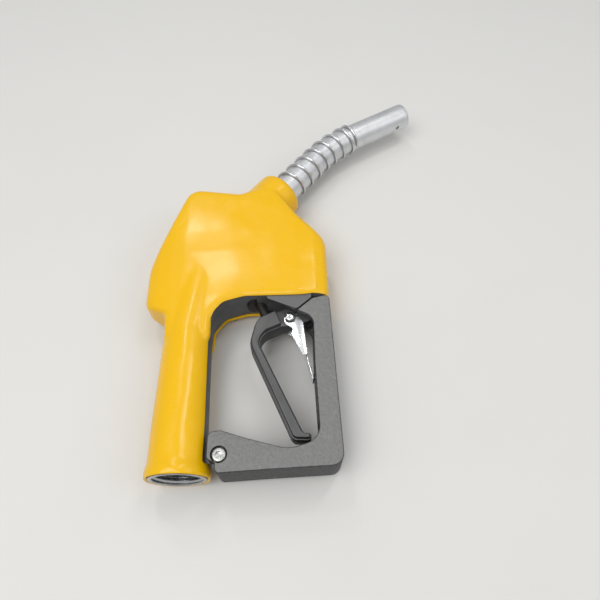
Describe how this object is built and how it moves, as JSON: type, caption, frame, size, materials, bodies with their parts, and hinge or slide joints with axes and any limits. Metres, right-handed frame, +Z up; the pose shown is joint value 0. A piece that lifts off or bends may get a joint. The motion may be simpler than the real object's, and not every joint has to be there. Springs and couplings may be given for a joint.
{
  "type": "automatic shut-off fuel nozzle",
  "caption": "Fuel pump nozzle lying on its side: handle, bent spout with coil spring, lever guard, sprung lever with hold-open latch, and the valve and trip mechanism inside.",
  "frame": {"origin": "centre of the underside of the part's bounding box, with the nozzle lying on its side as it lies on a table", "axes": "+Y along the handle from the hose end to the body, +X from the handle to the lever guard, +Z up through the thickness of the nozzle"},
  "size_m": [0.2358, 0.3602, 0.0452],
  "materials": {
    "vinyl": "glossy yellow vinyl plastisol",
    "painted_casting": "dark grey paint over cast aluminium, bare where machined",
    "guard_plastic": "pebbled dark grey moulded nylon",
    "chrome": "bright nickel chrome plate on pressed steel",
    "zinc": "bright zinc plate",
    "aluminium": "as turned",
    "spout_aluminium": "brushed and lightly scratched tube",
    "spring_steel": "drawn stainless spring wire",
    "stainless": "turned stainless steel",
    "brass": "turned brass",
    "rubber": "moulded fluorocarbon rubber"
  },
  "bodies": {
    "nozzle": {"body_casting": "painted_casting", "scuff_cover": "vinyl", "lever_guard": "guard_plastic", "guard_screw": "zinc", "guard_nut": "zinc", "guard_pin": "zinc", "inlet_strainer": "stainless", "stem_packing_nut": "brass", "stem_packing": "rubber", "valve_seat": "brass", "poppet_spring": "stainless", "poppet_cap": "aluminium", "diaphragm": "rubber", "diaphragm_spring": "stainless", "plunger_spring": "stainless", "vacuum_cap": "aluminium", "spout_tube": "spout_aluminium", "spout_spring": "spring_steel", "vent_tube": "brass", "spout_bush": "brass", "spout_oring": "rubber", "spout_set_screw": "stainless", "check_valve_seat": "brass", "check_valve_guide": "brass", "check_valve_spring": "stainless"},
    "plunger": {"plunger": "stainless", "trip_ball_1": "stainless", "trip_ball_2": "stainless", "trip_ball_3": "stainless", "lever_pivot_pin": "stainless"},
    "lever": {"trigger_lever": "guard_plastic", "latch_rivet": "chrome", "latch_spring": "stainless"},
    "latch": {"hold_open_latch": "chrome"},
    "main_valve": {"main_valve_stem": "stainless", "poppet_seal": "rubber", "main_poppet": "brass", "poppet_nut": "stainless"},
    "trip_pin": {"trip_pin": "stainless", "diaphragm_plate": "brass"},
    "check_valve": {"check_valve_poppet": "brass"}
  },
  "joints": [
    {"name": "plunger_drop", "type": "slide", "parent": "nozzle", "child": "plunger", "axis": [0, -1, 0], "range_m": [0, 0.005], "stiffness_N_per_m": 2000, "springref_m": -0.003, "deforming": ["plunger_spring"]},
    {"name": "lever_pull", "type": "hinge", "parent": "plunger", "child": "lever", "pos_m": [0.0051, -0.05907, 0.0226], "axis": [0, 0, -1], "range_deg": [0, 18], "stiffness_Nm_per_rad": 0.6, "springref_deg": -11.46},
    {"name": "latch_swing", "type": "hinge", "parent": "lever", "child": "latch", "pos_m": [-0.0065, -0.06467, 0.0226], "axis": [0, 0, -1], "range_deg": [0, 20], "stiffness_Nm_per_rad": 0.03, "springref_deg": -11.46, "deforming": ["latch_spring"]},
    {"name": "valve_lift", "type": "slide", "parent": "nozzle", "child": "main_valve", "axis": [-0.3827, 0.9239, 0], "range_m": [0, 0.01], "deforming": ["poppet_spring"]},
    {"name": "trip_lift", "type": "slide", "parent": "nozzle", "child": "trip_pin", "axis": [0, 1, 0], "range_m": [0, 0.002], "stiffness_N_per_m": 800, "springref_m": -0.002, "deforming": ["diaphragm", "diaphragm_spring"]},
    {"name": "check_lift", "type": "slide", "parent": "nozzle", "child": "check_valve", "axis": [0.6361, 0.7716, 0], "range_m": [0, 0.004], "stiffness_N_per_m": 400, "springref_m": -0.002, "deforming": ["check_valve_spring"]}
  ],
  "couplings": [
    {"joint": "valve_lift", "follows": "lever_pull", "m_per_rad": 0.0315}
  ]
}
